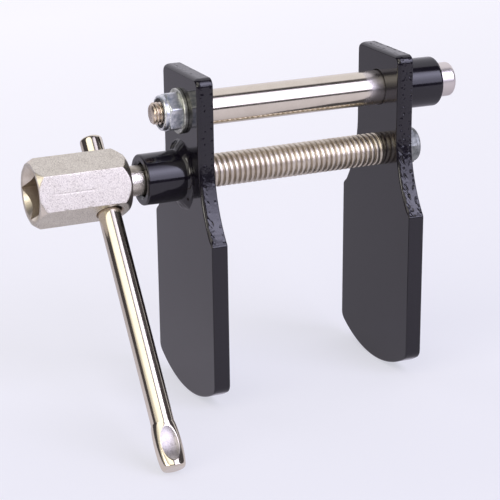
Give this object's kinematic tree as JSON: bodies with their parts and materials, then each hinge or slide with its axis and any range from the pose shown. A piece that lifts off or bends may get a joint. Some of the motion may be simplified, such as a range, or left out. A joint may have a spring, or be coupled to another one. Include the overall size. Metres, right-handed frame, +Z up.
{
  "type": "brake piston spreader",
  "caption": "Screw-driven spreader: parallel black steel plates on a guide rod, forced apart by a threaded screw with a hexagonal drive head and a loose tommy bar.",
  "frame": {"origin": "centre of the bounding box in X and Y, on the surface the tool stands on", "axes": "+X along the lead screw and guide rod, from the drive head towards the pressure plate; +Z up; the bar leans towards -Y"},
  "size_m": [0.1634, 0.0964, 0.1192],
  "materials": {
    "gloss_black_paint": "gloss black enamel over sheared and turned steel",
    "bright_nickel": "bright nickel plate",
    "satin_nickel": "satin nickel plate over a blasted surface",
    "clear_zinc": "clear zinc plate",
    "nylon": "moulded, natural sheen"
  },
  "bodies": {
    "pressure_side": {"pressure_plate": "gloss_black_paint", "guide_bush": "gloss_black_paint", "bush_weld": "gloss_black_paint"},
    "screw": {"lead_screw": "satin_nickel", "pivot_washer": "clear_zinc", "pivot_nut": "clear_zinc", "pivot_nut_insert": "nylon"},
    "screw_side": {"screw_plate": "gloss_black_paint", "threaded_boss": "gloss_black_paint", "boss_weld": "gloss_black_paint", "guide_rod": "bright_nickel", "rod_washer": "clear_zinc", "rod_nut": "clear_zinc", "rod_nut_insert": "nylon"},
    "bar": {"tommy_bar": "bright_nickel"}
  },
  "joints": [
    {"name": "screw_turn", "type": "hinge", "parent": "pressure_side", "child": "screw", "pos_m": [0.05175, 0.02195, 0.08185], "axis": [1, 0, 0], "range_deg": [-12650, 990]},
    {"name": "plate_slide", "type": "slide", "parent": "pressure_side", "child": "screw_side", "axis": [1, 0, 0], "range_m": [-0.0056, 0.0704]},
    {"name": "bar_slide", "type": "slide", "parent": "screw", "child": "bar", "axis": [0.025, 0.6466, 0.7624], "range_m": [-0.018, 0.076]}
  ],
  "couplings": [
    {"joint": "plate_slide", "follows": "screw_turn", "m_per_rad": -0.00031831}
  ]
}
